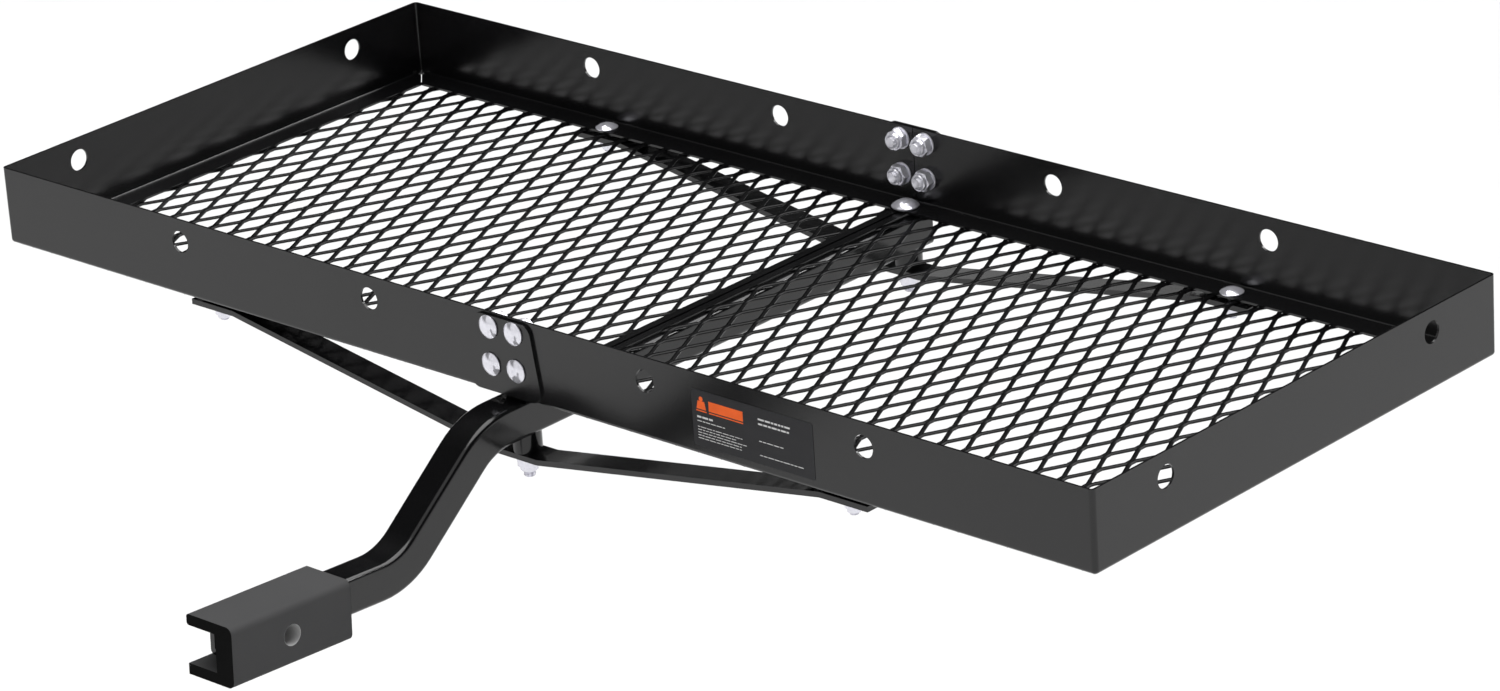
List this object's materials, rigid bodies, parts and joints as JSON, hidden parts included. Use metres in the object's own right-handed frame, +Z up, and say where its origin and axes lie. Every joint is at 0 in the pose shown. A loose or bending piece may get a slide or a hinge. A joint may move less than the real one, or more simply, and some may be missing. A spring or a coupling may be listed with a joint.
{
  "type": "hitch cargo carrier",
  "caption": "Tray-style hitch cargo carrier: bolted half trays with an expanded-metal floor on a dropped shank with braces and a lift-off receiver sleeve.",
  "frame": {"origin": "centre of the hitch-pin bore, on the axis of the shank", "axes": "+X along the tray and along the pin bore, +Y from the hitch towards the back of the tray, +Z up"},
  "size_m": [1.2192, 0.8673, 0.1909],
  "materials": {
    "black_sheet": "gloss black powder coat",
    "black_mesh": "gloss black powder coat on expanded metal",
    "black_steel": "gloss black powder coat",
    "black_adapter": "satin black powder coat",
    "zinc_hardware": "bright zinc plate",
    "label_film": "printed vinyl film"
  },
  "bodies": {
    "carrier": {"left_tray_rim": "black_sheet", "right_tray_rim": "black_sheet", "front_splice_plate": "black_sheet", "rear_splice_plate": "black_sheet", "left_mesh_deck": "black_mesh", "right_mesh_deck": "black_mesh", "left_seam_bar": "black_mesh", "right_seam_bar": "black_mesh", "shank_tube": "black_steel", "front_brace": "black_steel", "rear_brace": "black_steel", "front_brace_spacer": "black_steel", "rear_brace_spacer": "black_steel", "front_splice_bolts": "zinc_hardware", "front_splice_washers": "zinc_hardware", "front_splice_nuts": "zinc_hardware", "front_centre_bolt": "zinc_hardware", "front_centre_washer": "zinc_hardware", "front_centre_nut": "zinc_hardware", "front_brace_bolts": "zinc_hardware", "front_brace_washers": "zinc_hardware", "front_brace_nuts": "zinc_hardware", "rear_splice_bolts": "zinc_hardware", "rear_splice_washers": "zinc_hardware", "rear_splice_nuts": "zinc_hardware", "rear_centre_bolt": "zinc_hardware", "rear_centre_washer": "zinc_hardware", "rear_centre_nut": "zinc_hardware", "rear_brace_bolts": "zinc_hardware", "rear_brace_washers": "zinc_hardware", "rear_brace_nuts": "zinc_hardware", "rating_label": "label_film"},
    "adapter": {"hitch_adapter": "black_adapter"}
  },
  "joints": [
    {"name": "adapter_slide", "type": "slide", "parent": "carrier", "child": "adapter", "axis": [0, -0.9982, 0.0593], "range_m": [0, 0.13]}
  ]
}
